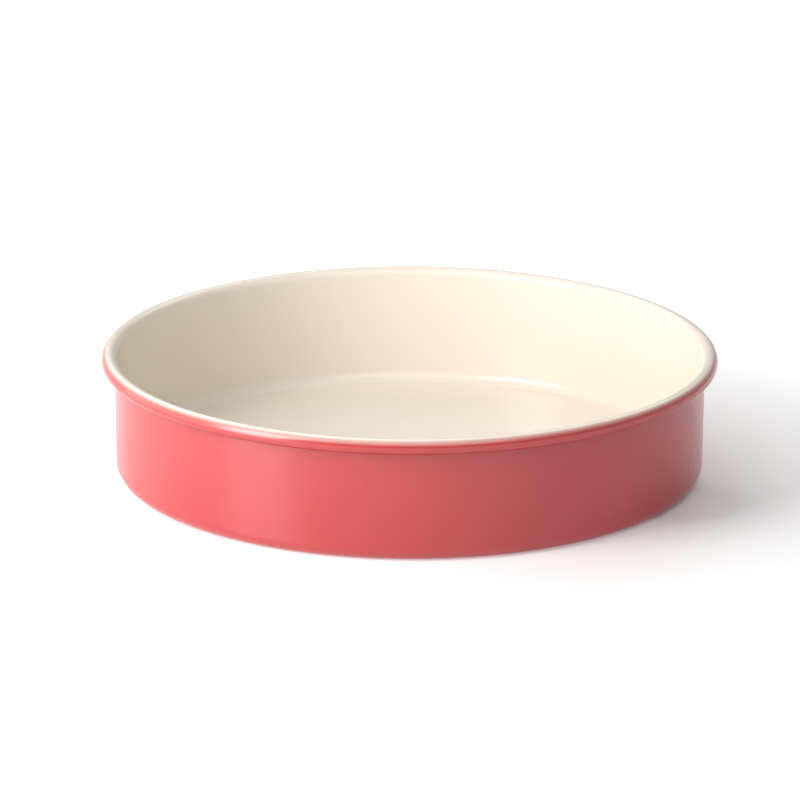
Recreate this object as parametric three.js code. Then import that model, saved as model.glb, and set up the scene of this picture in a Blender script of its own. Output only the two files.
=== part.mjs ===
// Round layer-cake pan. One drawn steel sheet makes the floor, the wall and the rolled rim, and the
// rim is rolled round a steel wire. A cream ceramic lining covers the inside and laps over the rim.
// A coral coat covers the outside, from the lining's edge on the rim to the middle of the underside.
// Millimetres, +Z up. The origin is on the pan's axis, at the level of the surface it stands on.
import * as THREE from 'three';

// Driving dimensions
const INNER_DIAMETER = 229; // across the lining, where the straight wall runs into the rim
const PAN_HEIGHT = 48.8; // standing surface to the crown of the rim
const WALL_DRAFT_DEG = 0.25; // lean of the wall, wider at the top
const CORNER_RADIUS = 4.2; // between floor and wall, on the face of the lining
const SHEET_THICKNESS = 0.7; // drawn steel sheet
const LINING_THICKNESS = 0.12; // cream ceramic inside
const OUTER_COAT_THICKNESS = 0.12; // coral coat outside
const WIRE_DIAMETER = 4; // steel wire inside the rim
const WIRE_CLEARANCE = 0.15; // all round the wire, to the sheet that is rolled about it
const CURL_EDGE_GAP = 0.3; // from the sheet's cut edge to the wall, under the rim
const LINING_EDGE_DEG = 45; // where the lining ends on the rim, above the rim's outermost line

// Facets
const TURN_STEPS = 72; // round the pan's axis
const CORNER_STEPS = [4]; // floor to wall
const LAP_STEPS = [4, 2]; // rim under the lining: wall to crown, crown to the lining's edge
const COAT_STEPS = [2, 5]; // rim under the outer coat: lining's edge to outermost line, on to the cut edge
const CURL_STEPS = [10]; // inside of the curl, facing the wire
const CREASE_STEPS = [2]; // fillet of coat in the crease under the rim
const WIRE_STEPS = [...CURL_STEPS, 2]; // wire facing the curl, wire facing the wall

// Angles in the section: 0 points away from the pan's axis and a quarter turn points up
const QUARTER_TURN = Math.PI / 2;
const DRAFT = THREE.MathUtils.degToRad(WALL_DRAFT_DEG);
const DOWN = -QUARTER_TURN;
const OUTERMOST = 0;
const CROWN = QUARTER_TURN;
const LINING_EDGE = THREE.MathUtils.degToRad(LINING_EDGE_DEG);
const WALL_OUT = -DRAFT; // square to the wall, away from the axis
const WALL_IN = Math.PI - DRAFT; // square to the wall, towards the axis

// Point at a distance and an angle from a centre in the section: x is the radius, y the height
function polar(centre, radius, angle) {
  const point = new THREE.Vector2(Math.cos(angle), Math.sin(angle));
  return point.multiplyScalar(radius).add(centre);
}

// Points of a round stretch of the section, through each of the angles, with so many steps between two
function arc(centre, radius, angles, steps) {
  const points = [polar(centre, radius, angles[0])];
  steps.forEach((count, leg) => {
    const turn = angles[leg + 1] - angles[leg];
    for (let step = 1; step <= count; step += 1) {
      points.push(polar(centre, radius, angles[leg] + (turn * step) / count));
    }
  });
  return points;
}

// A face of the pan is named by its depth: its distance from the sheet's inner face, towards the outside
const LINING_FACE = -LINING_THICKNESS;
const SHEET_INNER_FACE = 0;
const SHEET_OUTER_FACE = SHEET_THICKNESS;
const OUTER_COAT_FACE = SHEET_THICKNESS + OUTER_COAT_THICKNESS;

// The rim: the sheet leaves the wall and rolls outwards, over and down, round the wire
const RIM_RADIUS = WIRE_DIAMETER / 2 + WIRE_CLEARANCE + SHEET_THICKNESS;
const RIM_CENTRE = new THREE.Vector2(
  INNER_DIAMETER / 2 + (RIM_RADIUS + LINING_THICKNESS) * Math.cos(DRAFT),
  PAN_HEIGHT - LINING_THICKNESS - RIM_RADIUS,
);
const CURL_END = WALL_OUT - Math.acos((CURL_EDGE_GAP + SHEET_THICKNESS - RIM_RADIUS) / RIM_RADIUS);

// The corner between floor and wall: every face turns about the same centre
const CORNER_HEIGHT = OUTER_COAT_FACE + LINING_THICKNESS + CORNER_RADIUS;
const WALL_TOP = polar(RIM_CENTRE, RIM_RADIUS - LINING_FACE, WALL_IN);
const CORNER_INSET = (CORNER_RADIUS + (WALL_TOP.y - CORNER_HEIGHT) * Math.sin(DRAFT)) / Math.cos(DRAFT);
const CORNER_CENTRE = new THREE.Vector2(WALL_TOP.x - CORNER_INSET, CORNER_HEIGHT);

// Floor and corner of one face, from the axis outwards to the foot of the wall
function floorAndCorner(depth) {
  const middle = new THREE.Vector2(0, OUTER_COAT_FACE - depth);
  const radius = CORNER_RADIUS + LINING_THICKNESS + depth;
  return [middle, ...arc(CORNER_CENTRE, radius, [DOWN, WALL_OUT], CORNER_STEPS)];
}

// The sheet's face on the outside of the rim, first under the lining and then under the outer coat
function rimUnderLining() {
  return arc(RIM_CENTRE, RIM_RADIUS, [WALL_IN, CROWN, LINING_EDGE], LAP_STEPS);
}

function rimUnderCoat() {
  return arc(RIM_CENTRE, RIM_RADIUS, [LINING_EDGE, OUTERMOST, CURL_END], COAT_STEPS);
}

// Steel shell: under the floor, up the wall, round the inside of the curl to the cut edge,
// then back over the outside of the curl, down the wall and across the floor
function panShell() {
  const curlInside = arc(RIM_CENTRE, RIM_RADIUS - SHEET_THICKNESS, [WALL_IN, CURL_END], CURL_STEPS);
  const curlOutside = [...rimUnderLining(), ...rimUnderCoat().slice(1)];
  return [
    ...floorAndCorner(SHEET_OUTER_FACE),
    ...curlInside,
    ...curlOutside.reverse(),
    ...floorAndCorner(SHEET_INNER_FACE).reverse(),
  ];
}

// Wire: a closed ring, butt-welded before the sheet is rolled round it, with its flats along the curl's
function rimWire() {
  const fullTurn = [WALL_IN, CURL_END, WALL_IN - 2 * Math.PI];
  return arc(RIM_CENTRE, WIRE_DIAMETER / 2, fullTurn, WIRE_STEPS).reverse();
}

// Lining: on the sheet's inner face, and over the rim to the lining's edge
function innerLining() {
  const overRim = arc(RIM_CENTRE, RIM_RADIUS + LINING_THICKNESS, [WALL_IN, CROWN, LINING_EDGE], LAP_STEPS);
  return [
    ...floorAndCorner(SHEET_INNER_FACE),
    ...rimUnderLining(),
    ...overRim.reverse(),
    ...floorAndCorner(LINING_FACE).reverse(),
  ];
}

// Outer coat: under the floor, up the wall, a fillet in the crease under the rim that closes the gap
// at the sheet's cut edge, and round the rim to the edge of the lining
function outerCoat() {
  const coatRadius = RIM_RADIUS + OUTER_COAT_THICKNESS;
  const filletRadius = CURL_EDGE_GAP;
  const filletReach = coatRadius + filletRadius;
  const filletOffset = OUTER_COAT_FACE + filletRadius - RIM_RADIUS;
  const filletAngle = WALL_OUT - Math.acos(filletOffset / filletReach);
  const filletCentre = polar(RIM_CENTRE, filletReach, filletAngle);
  const crease = arc(filletCentre, filletRadius, [WALL_IN, filletAngle + Math.PI], CREASE_STEPS);
  const roundRim = arc(RIM_CENTRE, coatRadius, [LINING_EDGE, OUTERMOST, filletAngle], COAT_STEPS);
  const cutEdge = polar(RIM_CENTRE, RIM_RADIUS, CURL_END);
  const wallAtCutEdge = polar(cutEdge, CURL_EDGE_GAP, WALL_IN);
  return [
    ...floorAndCorner(OUTER_COAT_FACE),
    ...crease,
    ...roundRim.reverse().slice(1),
    ...rimUnderCoat(),
    wallAtCutEdge,
    ...floorAndCorner(SHEET_OUTER_FACE).reverse(),
  ];
}

// A section turned about the pan's axis, with the axis upright
function turned(name, section, material) {
  const geometry = new THREE.LatheGeometry(section, TURN_STEPS);
  geometry.rotateX(QUARTER_TURN);
  const mesh = new THREE.Mesh(geometry, material);
  mesh.name = name;
  return mesh;
}

const sheetSteel = new THREE.MeshStandardMaterial({ color: 0xa7a9a8, roughness: 0.42, metalness: 1 });
const wireSteel = new THREE.MeshStandardMaterial({ color: 0x9a9da0, roughness: 0.35, metalness: 1 });
const creamCeramic = new THREE.MeshStandardMaterial({ color: 0xf1e3cd, roughness: 0.3, metalness: 0 });
const coralCoat = new THREE.MeshStandardMaterial({ color: 0xd9535a, roughness: 0.36, metalness: 0 });

const pan = new THREE.Group();
pan.name = 'cake_pan';
pan.add(turned('pan_shell', panShell(), sheetSteel));
pan.add(turned('rim_wire', rimWire(), wireSteel));
pan.add(turned('inner_lining', innerLining(), creamCeramic));
pan.add(turned('outer_coat', outerCoat(), coralCoat));

export default pan;
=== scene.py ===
import math

import bpy
import numpy as np
from mathutils import Matrix, Vector


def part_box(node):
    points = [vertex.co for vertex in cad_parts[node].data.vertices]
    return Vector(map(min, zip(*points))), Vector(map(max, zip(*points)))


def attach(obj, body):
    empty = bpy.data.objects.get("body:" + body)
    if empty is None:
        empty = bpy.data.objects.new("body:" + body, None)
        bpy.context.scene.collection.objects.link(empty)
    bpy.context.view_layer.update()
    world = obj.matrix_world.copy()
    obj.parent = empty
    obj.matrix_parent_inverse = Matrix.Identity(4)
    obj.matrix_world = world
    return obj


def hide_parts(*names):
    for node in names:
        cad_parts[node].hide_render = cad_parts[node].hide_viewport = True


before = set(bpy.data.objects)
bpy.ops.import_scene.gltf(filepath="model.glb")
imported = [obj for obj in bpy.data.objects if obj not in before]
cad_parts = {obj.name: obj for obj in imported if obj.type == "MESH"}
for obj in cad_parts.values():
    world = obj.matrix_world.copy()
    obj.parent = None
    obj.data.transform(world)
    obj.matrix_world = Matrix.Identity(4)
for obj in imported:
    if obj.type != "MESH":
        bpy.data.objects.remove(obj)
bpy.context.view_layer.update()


# Steel shell: one disc of sheet steel, drawn into a flat-bottomed cup with a small round corner. Its
# top edge is rolled outwards, over and down, back to the wall, which makes the rim. Both coats hide it.
MM = 0.001
RIM_RADIUS = 2.85 * MM  # of the sheet's outer face, in the rim's round section
CORNER_RADIUS = 4.2 * MM  # between floor and wall, on the face of the lining
WALL_DRAFT = math.radians(0.25)  # lean of the wall, wider at the top
CURL_EDGE_GAP = 0.3 * MM  # from the sheet's cut edge to the wall, under the rim
TURN_STEPS = 384  # round the pan's axis
ARC_STEP = math.radians(4)  # along the section's round stretches
STRAIGHT_STEP = 6 * MM  # along the section's straight stretches
ON_AXIS = 1e-6 * MM  # a point of the section nearer the axis than this is on it
SHARP_ANGLE = math.radians(40)  # an edge that turns more than this is a sharp one
DOWN = -math.pi / 2

shell_low, shell_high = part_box("pan_shell")
lining_low, lining_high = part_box("inner_lining")
coat_low, coat_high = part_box("outer_coat")
sheet_thickness = lining_low.z - shell_low.z
lining_thickness = lining_high.z - shell_high.z
coat_thickness = shell_low.z - coat_low.z
wall_out = -WALL_DRAFT  # angle in the section, square to the wall and away from the axis
wall_in = math.pi - WALL_DRAFT


def polar(centre, radius, angle):
    """Point of the section (distance from the axis, height) at a radius and an angle from a centre."""
    return centre + radius * np.array((math.cos(angle), math.sin(angle)))


def arc(centre, radius, start, stop):
    """Round stretch of the section: centre + radius (cos t, sin t), with the angle t evenly spread
    from start to stop, both ends included."""
    t = np.linspace(start, stop, math.ceil(abs(stop - start) / ARC_STEP) + 1)
    return centre + radius * np.column_stack((np.cos(t), np.sin(t)))


def straight(start, stop):
    """Straight stretch of the section: points evenly spread from start to stop, without the two ends."""
    return np.linspace(start, stop, math.ceil(math.dist(start, stop) / STRAIGHT_STEP) + 1)[1:-1]


rim_centre = np.array((shell_high.x - RIM_RADIUS, shell_high.z - RIM_RADIUS))
curl_end = wall_out - math.acos((CURL_EDGE_GAP + sheet_thickness - RIM_RADIUS) / RIM_RADIUS)
wall_top = polar(rim_centre, RIM_RADIUS, wall_in)
corner_radius = CORNER_RADIUS + lining_thickness
corner_height = lining_low.z + corner_radius
corner_lean = (wall_top[1] - corner_height) * math.sin(WALL_DRAFT)
corner_inset = (corner_radius + corner_lean) / math.cos(WALL_DRAFT)
corner_centre = np.array((wall_top[0] - corner_inset, corner_height))


def cup(depth, top):
    """One face of the pan below the rim, so deep outside the sheet's inner face: a straight floor from
    the axis, a quarter circle about the corner's centre, and a straight wall that stops short of its
    top point."""
    corner = arc(corner_centre, corner_radius + depth, DOWN, wall_out)
    middle = np.array((0.0, corner[0, 1]))
    return np.vstack((middle, straight(middle, corner[0]), corner, straight(corner[-1], top)))


def turned(name, section, material):
    """Surface of revolution: the section's point (r, z) goes to (r cos a, r sin a, z) at every angle a
    round the axis. A section that starts and ends on the axis gets a fan of triangles there, and any
    other one closes on itself. It runs counter-clockwise in (r, z), so that faces point outwards."""
    capped = section[0, 0] < ON_AXIS
    rings = section[1:-1] if capped else section
    turn = np.linspace(0.0, 2 * math.pi, TURN_STEPS, endpoint=False)
    radius, around = np.meshgrid(rings[:, 0], turn, indexing="ij")
    height = np.broadcast_to(rings[:, 1:2], radius.shape)
    points = np.stack((radius * np.cos(around), radius * np.sin(around), height), axis=-1).reshape(-1, 3)

    index = np.arange(len(points)).reshape(len(rings), TURN_STEPS)
    below = index[:-1] if capped else index
    above = index[1:] if capped else np.roll(index, -1, axis=0)
    corners = (below, np.roll(below, -1, axis=1), np.roll(above, -1, axis=1), above)
    faces = np.stack(corners, axis=-1).reshape(-1, 4).tolist()
    if capped:
        first, last = len(points), len(points) + 1
        poles = np.array(((0.0, 0.0, section[0, 1]), (0.0, 0.0, section[-1, 1])))
        points = np.vstack((points, poles))
        start, end = index[0], index[-1]
        faces += np.stack((np.full_like(start, first), np.roll(start, -1), start), axis=-1).tolist()
        faces += np.stack((end, np.roll(end, -1), np.full_like(end, last)), axis=-1).tolist()

    mesh = bpy.data.meshes.new(name)
    mesh.from_pydata(points.tolist(), [], faces)
    mesh.shade_smooth()
    mesh.set_sharp_from_angle(angle=SHARP_ANGLE)
    mesh.materials.append(material)
    piece = bpy.data.objects.new(name, mesh)
    bpy.context.scene.collection.objects.link(piece)
    return piece


MIX_LOW, MIX_HIGH, MIX_RESULT = 6, 7, 2  # a Mix node's colour sockets: its other kinds have the same names


class Tone:
    """A value or colour that a material's nodes work out. Arithmetic on a value adds Math nodes."""

    def __init__(self, tree, socket=None):
        self.tree = tree
        self.socket = socket

    def node(self, kind, settings, sockets, output=0):
        """Adds a node of a type, sets its settings, then gives each named socket a number, a colour or
        a link."""
        node = self.tree.nodes.new(kind)
        for name, value in settings.items():
            setattr(node, name, value)
        for name, value in sockets.items():
            if isinstance(value, Tone):
                self.tree.links.new(value.socket, node.inputs[name])
            else:
                node.inputs[name].default_value = value
        return Tone(self.tree, node.outputs[output]) if node.outputs else None

    def maths(self, operation, *values):
        return self.node("ShaderNodeMath", {"operation": operation}, dict(enumerate(values)))

    def __add__(self, other):
        return self.maths("ADD", self, other)

    def __sub__(self, other):
        return self.maths("SUBTRACT", self, other)

    def __rsub__(self, other):
        return self.maths("SUBTRACT", other, self)

    def __mul__(self, other):
        return self.maths("MULTIPLY", self, other)

    def __pow__(self, other):
        return self.maths("POWER", self, other)

    __radd__ = __add__
    __rmul__ = __mul__

    def span(self, low, high):
        """Value that goes from low to high as this one goes from 0 to 1."""
        return low + (high - low) * self

    def share(self, low, high):
        """How far this value is from low to high: 0 up to low, 1 from high on."""
        return self.node("ShaderNodeMapRange", {}, {"Value": self, "From Min": low, "From Max": high})

    def place(self):
        """Where a point of the surface is, in metres from the pan's origin."""
        return self.node("ShaderNodeTexCoord", {}, {}, "Object")

    def along(self, axis):
        """How far a point of the surface is from the pan's origin along X, Y or Z."""
        return self.node("ShaderNodeSeparateXYZ", {}, {"Vector": self.place()}, axis)

    def grain(self, size, detail=2.0):
        """Soft cloudy noise from 0 to 1 about a middle of 0.5, with clouds of about this size in metres
        and so many finer layers in them."""
        sockets = {"Vector": self.place(), "Scale": 1 / size, "Detail": detail}
        return self.node("ShaderNodeTexNoise", {}, sockets)

    def mix(self, share, low, high):
        """Colour that goes from low to high as share goes from 0 to 1."""
        sockets = {"Factor": share, MIX_LOW: low, MIX_HIGH: high}
        return self.node("ShaderNodeMix", {"data_type": "RGBA"}, sockets, MIX_RESULT)

    def bump(self, height, depth):
        """Surface relief: height from 0 to 1 stands for so many metres."""
        return self.node("ShaderNodeBump", {}, {"Height": height, "Distance": depth, "Strength": 1.0})


def finish(name, tone_sockets):
    """Material with one Principled surface. tone_sockets makes its sockets' values from the material's
    nodes."""
    material = bpy.data.materials.new(name)
    material.use_nodes = True
    nodes = Tone(material.node_tree)
    material.node_tree.nodes.clear()
    surface = nodes.node("ShaderNodeBsdfPrincipled", {}, tone_sockets(nodes))
    nodes.node("ShaderNodeOutputMaterial", {}, {"Surface": surface})
    return material


STEEL_LIGHT = (0.58, 0.58, 0.57, 1.0)
STEEL_DARK = (0.46, 0.46, 0.46, 1.0)
STEEL_CLOUD_SIZE = 6 * MM
STEEL_ROUGHNESS = (0.3, 0.5)
TOOTH_SIZE = 0.4 * MM
TOOTH_DEPTH = 0.01 * MM


def drawn_steel(nodes):
    """Bare steel: cloudy grey with a fine tooth from the drawing die."""
    cloud = nodes.grain(STEEL_CLOUD_SIZE, detail=4.0)
    tooth = nodes.grain(TOOTH_SIZE)
    return {
        "Base Color": nodes.mix(cloud, STEEL_DARK, STEEL_LIGHT),
        "Metallic": 1.0,
        "Roughness": tooth.span(*STEEL_ROUGHNESS),
        "Normal": nodes.bump(tooth, TOOTH_DEPTH),
    }


outside_low = cup(sheet_thickness, polar(rim_centre, RIM_RADIUS - sheet_thickness, wall_in))
inside_low = cup(0.0, wall_top)
curl_inside = arc(rim_centre, RIM_RADIUS - sheet_thickness, wall_in, curl_end)
curl_outside = arc(rim_centre, RIM_RADIUS, curl_end, wall_in)
shell_section = np.vstack((outside_low, curl_inside, curl_outside, inside_low[::-1]))
shell = turned("steel_shell", shell_section, finish("drawn_steel", drawn_steel))
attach(shell, "root")
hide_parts("pan_shell")


# Rim wire: a ring of drawn steel wire, butt-welded and ground. The sheet is rolled round it, so it lies
# loose inside the rim, keeps it round and stiff, and is never seen.
WIRE_MARK_SIZE = 1.5 * MM
WIRE_ROUGHNESS = (0.22, 0.34)

wire_low, wire_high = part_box("rim_wire")
wire_radius = (wire_high.z - wire_low.z) / 2


def bright_wire(nodes):
    """Wire steel: bright, with small cloudy marks of tone."""
    marks = nodes.grain(WIRE_MARK_SIZE, detail=3.0)
    return {
        "Base Color": nodes.mix(marks, STEEL_DARK, STEEL_LIGHT),
        "Metallic": 1.0,
        "Roughness": marks.span(*WIRE_ROUGHNESS),
    }


wire_section = arc(rim_centre, wire_radius, 0.0, 2 * math.pi)[:-1]
wire = turned("wire_ring", wire_section, finish("bright_wire", bright_wire))
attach(wire, "root")
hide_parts("rim_wire")


# Outer coat: coral ceramic, sprayed over the outside and cured hard. It starts on the rim, closes the
# crease under the rim with a small fillet, and goes down the wall and across the underside.
COAT_EDGE = math.radians(45)  # where the coral coat and the cream lining meet on the rim
SPRAY_START = math.radians(5)  # the cream spray thins out to nothing here
SPRAY_FULL = math.radians(70)  # and is full from here on
SPRAY_POWER = 2.2  # above 1, most of its thickness comes near the full end
DROPLET_SIZE = 0.25 * MM
DROPLET_SCATTER = 0.4  # radians, from the furthest shift down to the furthest up
CORAL = (0.425, 0.022, 0.025, 1.0)
CORAL_DEEP = (0.405, 0.020, 0.023, 1.0)
CORAL_DRIFT_SIZE = 25 * MM
CORAL_ROUGHNESS = (0.19, 0.25)
CORAL_IOR = 1.72
CORAL_PEEL_SIZE = 1.6 * MM
CORAL_PEEL_DEPTH = 0.012 * MM
CREAM = (0.845, 0.764, 0.668, 1.0)

coat_radius = RIM_RADIUS + coat_thickness
fillet_reach = coat_radius + CURL_EDGE_GAP
fillet_offset = sheet_thickness + coat_thickness + CURL_EDGE_GAP - RIM_RADIUS
fillet_angle = wall_out - math.acos(fillet_offset / fillet_reach)
fillet_centre = polar(rim_centre, fillet_reach, fillet_angle)
crease = arc(fillet_centre, CURL_EDGE_GAP, wall_in, fillet_angle + math.pi)
coat_outside = arc(rim_centre, coat_radius, fillet_angle, COAT_EDGE)
coat_inside = arc(rim_centre, RIM_RADIUS, COAT_EDGE, curl_end)
cut_edge_wall = polar(coat_inside[-1], CURL_EDGE_GAP, wall_in)
coat_low_outside = cup(sheet_thickness + coat_thickness, crease[0])
coat_low_inside = cup(sheet_thickness, cut_edge_wall)


def cream_spray(nodes):
    """Share of cream on the rim, and a 1 on the rim's outer side, where that share counts, or a 0. The
    share is a power of the angle up the rim's round section, which droplets break up."""
    x, y, z = (nodes.along(axis) for axis in "XYZ")
    outwards = (x * x + y * y) ** 0.5 - float(rim_centre[0])
    angle = nodes.maths("ARCTAN2", z - float(rim_centre[1]), outwards)
    droplets = nodes.grain(DROPLET_SIZE) - 0.5
    share = (angle + DROPLET_SCATTER * droplets).share(SPRAY_START, SPRAY_FULL) ** SPRAY_POWER
    return share, nodes.maths("GREATER_THAN", outwards, 0.0)


def coral_ceramic(nodes):
    """Coral coat: satin, with a faint orange peel, soft drifts of tone and cream spray along its edge."""
    spray, outer_side = cream_spray(nodes)
    drift = nodes.grain(CORAL_DRIFT_SIZE)
    peel = nodes.grain(CORAL_PEEL_SIZE)
    coral = nodes.mix(drift, CORAL_DEEP, CORAL)
    return {
        "Base Color": nodes.mix(spray * outer_side, coral, CREAM),
        "Roughness": drift.span(*CORAL_ROUGHNESS),
        "IOR": CORAL_IOR,
        "Normal": nodes.bump(peel, CORAL_PEEL_DEPTH),
    }


coat_section = np.vstack((
    coat_low_outside, crease, coat_outside[1:], coat_inside, cut_edge_wall, coat_low_inside[::-1],
))
coat = turned("coral_coat", coat_section, finish("coral_ceramic", coral_ceramic))
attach(coat, "root")
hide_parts("outer_coat")


# Inner lining: cream ceramic, sprayed into the cup after the coral coat. It covers floor, corner and
# wall, laps over the crown of the rim, and fades out over the coral coat on the rim's outer side.
CREAM_DEEP = (0.825, 0.744, 0.646, 1.0)
CREAM_DRIFT_SIZE = 30 * MM
CREAM_ROUGHNESS = (0.14, 0.20)
CREAM_PEEL_SIZE = 2.0 * MM
CREAM_PEEL_DEPTH = 0.01 * MM

lap_outside = arc(rim_centre, RIM_RADIUS + lining_thickness, COAT_EDGE, wall_in)
lap_inside = arc(rim_centre, RIM_RADIUS, wall_in, COAT_EDGE)


def cream_ceramic(nodes):
    """Cream lining: smooth and glossy, with soft drifts of tone. Coral shows through where it thins out."""
    spray, outer_side = cream_spray(nodes)
    drift = nodes.grain(CREAM_DRIFT_SIZE)
    peel = nodes.grain(CREAM_PEEL_SIZE)
    cream = nodes.mix(drift, CREAM_DEEP, CREAM)
    return {
        "Base Color": nodes.mix((1 - spray) * outer_side, cream, CORAL),
        "Roughness": drift.span(*CREAM_ROUGHNESS),
        "Normal": nodes.bump(peel, CREAM_PEEL_DEPTH),
    }


lining_section = np.vstack((
    cup(0.0, wall_top), lap_inside, lap_outside, cup(-lining_thickness, lap_outside[-1])[::-1],
))
lining = turned("cream_lining", lining_section, finish("cream_ceramic", cream_ceramic))
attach(lining, "root")
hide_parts("inner_lining")


# Floor: a wide white table of frosted acrylic that the pan stands on. Its glow is painted light, not a
# lamp, and it dims to a painted shadow beside the pan's shaded side. It isn't part of the pan.
FLOOR_HALF = 6.0
FLOOR_GAP = 0.05 * MM  # down from the pan's underside, so that the two faces never coincide
FROST_LIGHT = (0.76, 0.76, 0.76, 1.0)
FROST_DARK = (0.74, 0.74, 0.74, 1.0)
FROST_CLOUD_SIZE = 80 * MM
FROST_ROUGHNESS = 0.4
PAINTED_SHADOW_X = 0.107  # centre of the painted shadow, where the painted glow is dimmest
PAINTED_SHADOW_Y = -0.045
GLOW_START = 0.02  # distance from there at which the glow starts to rise
GLOW_FULL = 0.40  # and at which it is full
GLOW_POWER = 0.6  # below 1, most of its rise comes near the start
# painted glow: low in the painted shadow, high further off
GLOW_LOW = (0.10, 0.10, 0.10, 1.0)
GLOW_HIGH = (1.0, 1.0, 1.0, 1.0)
GLOW_STRENGTH = 0.72


def acrylic_painted_glow(nodes):
    """Frosted white acrylic with a barely seen cloudy tone, and a painted glow in place of light. The
    glow rises as a power of the distance from the painted shadow's centre, where it is dimmest."""
    cloud = nodes.grain(FROST_CLOUD_SIZE)
    x, y = nodes.along("X") - PAINTED_SHADOW_X, nodes.along("Y") - PAINTED_SHADOW_Y
    distance = (x * x + y * y) ** 0.5
    glow = distance.share(GLOW_START, GLOW_FULL) ** GLOW_POWER
    return {
        "Base Color": nodes.mix(cloud, FROST_DARK, FROST_LIGHT),
        "Roughness": FROST_ROUGHNESS,
        "Emission Color": nodes.mix(glow, GLOW_LOW, GLOW_HIGH),
        "Emission Strength": GLOW_STRENGTH,
    }


side = np.array((-FLOOR_HALF, FLOOR_HALF))
level = np.full((2, 2), -FLOOR_GAP)
floor_points = np.stack((*np.meshgrid(side, side), level), axis=-1).reshape(-1, 3)
floor_mesh = bpy.data.meshes.new("acrylic_table")
floor_mesh.from_pydata(floor_points.tolist(), [], [(0, 1, 3, 2)])
floor_mesh.materials.append(finish("acrylic_painted_glow", acrylic_painted_glow))
table = bpy.data.objects.new("acrylic_table", floor_mesh)
bpy.context.scene.collection.objects.link(table)


# Light: a tall softbox to the left of the camera, from the floor up, gives the modelling and the soft
# shadow to the right, which the floor's painted shadow deepens. A low card on the left, a softbox above
# the camera, a wide one behind the pan and a pale room fill in the rest.
LAMPS = (  # place, point that it faces, width, height, brightness
    ("tall_softbox", (-0.605, -0.410, 0.345), (0.0, 0.0, 0.02), 0.37, 0.69, 8.5),
    ("low_card", (-0.79, 0.08, 0.11), (0.0, 0.0, 0.02), 0.70, 0.17, 2.8),
    ("high_softbox", (0.0, -0.785, 0.935), (0.0, 0.0, 0.02), 1.30, 0.95, 1.4),
    ("back_softbox", (0.0, 1.30, 1.20), (0.0, 0.85, 0.0), 2.40, 0.80, 1.3),
)
ROOM_COLOUR = (1.0, 1.0, 1.0, 1.0)
ROOM_BRIGHTNESS = 0.33


def aimed(position, target, roll):
    """Placing that looks from a position to a target along its own -Z, turned by a roll about that
    line."""
    turn = (target - position).to_track_quat("-Z", "Y").to_matrix().to_4x4()
    return Matrix.Translation(position) @ turn @ Matrix.Rotation(roll, 4, "Z")


for name, place, target, width, height, brightness in LAMPS:
    light = bpy.data.lights.new(name, "AREA")
    light.shape = "RECTANGLE"
    light.size = width
    light.size_y = height
    light.energy = math.pi * width * height * brightness  # a flat lamp's power at that brightness
    lamp = bpy.data.objects.new(name, light)
    lamp.matrix_world = aimed(Vector(place), Vector(target), 0.0)
    bpy.context.scene.collection.objects.link(lamp)

room = bpy.data.worlds.new("pale_room")
room.use_nodes = True
room_sockets = room.node_tree.nodes["Background"].inputs
room_sockets["Color"].default_value = ROOM_COLOUR
room_sockets["Strength"].default_value = ROOM_BRIGHTNESS
bpy.context.scene.world = room
bpy.context.scene.view_settings.view_transform = "Standard"


# Camera: a long lens in front of the pan and a little above it. Its aim and roll are fitted to the
# outlines of the rim, wall and corner.
CAMERA_PLACE = Vector((0.0, -1762.1, 576.6)) * MM
CAMERA_AIM = Vector((-3.75, 0.0, 27.28)) * MM
CAMERA_ROLL = math.radians(0.184)
SENSOR_WIDTH = 36.0  # in millimetres, as the focal length is
FOCAL_PIXELS = 4699.4
IMAGE_PIXELS = 800

lens = bpy.data.cameras.new("camera")
lens.sensor_width = SENSOR_WIDTH
lens.lens = SENSOR_WIDTH * FOCAL_PIXELS / IMAGE_PIXELS
camera = bpy.data.objects.new("camera", lens)
camera.matrix_world = aimed(CAMERA_PLACE, CAMERA_AIM, CAMERA_ROLL)
bpy.context.scene.collection.objects.link(camera)
bpy.context.scene.camera = camera
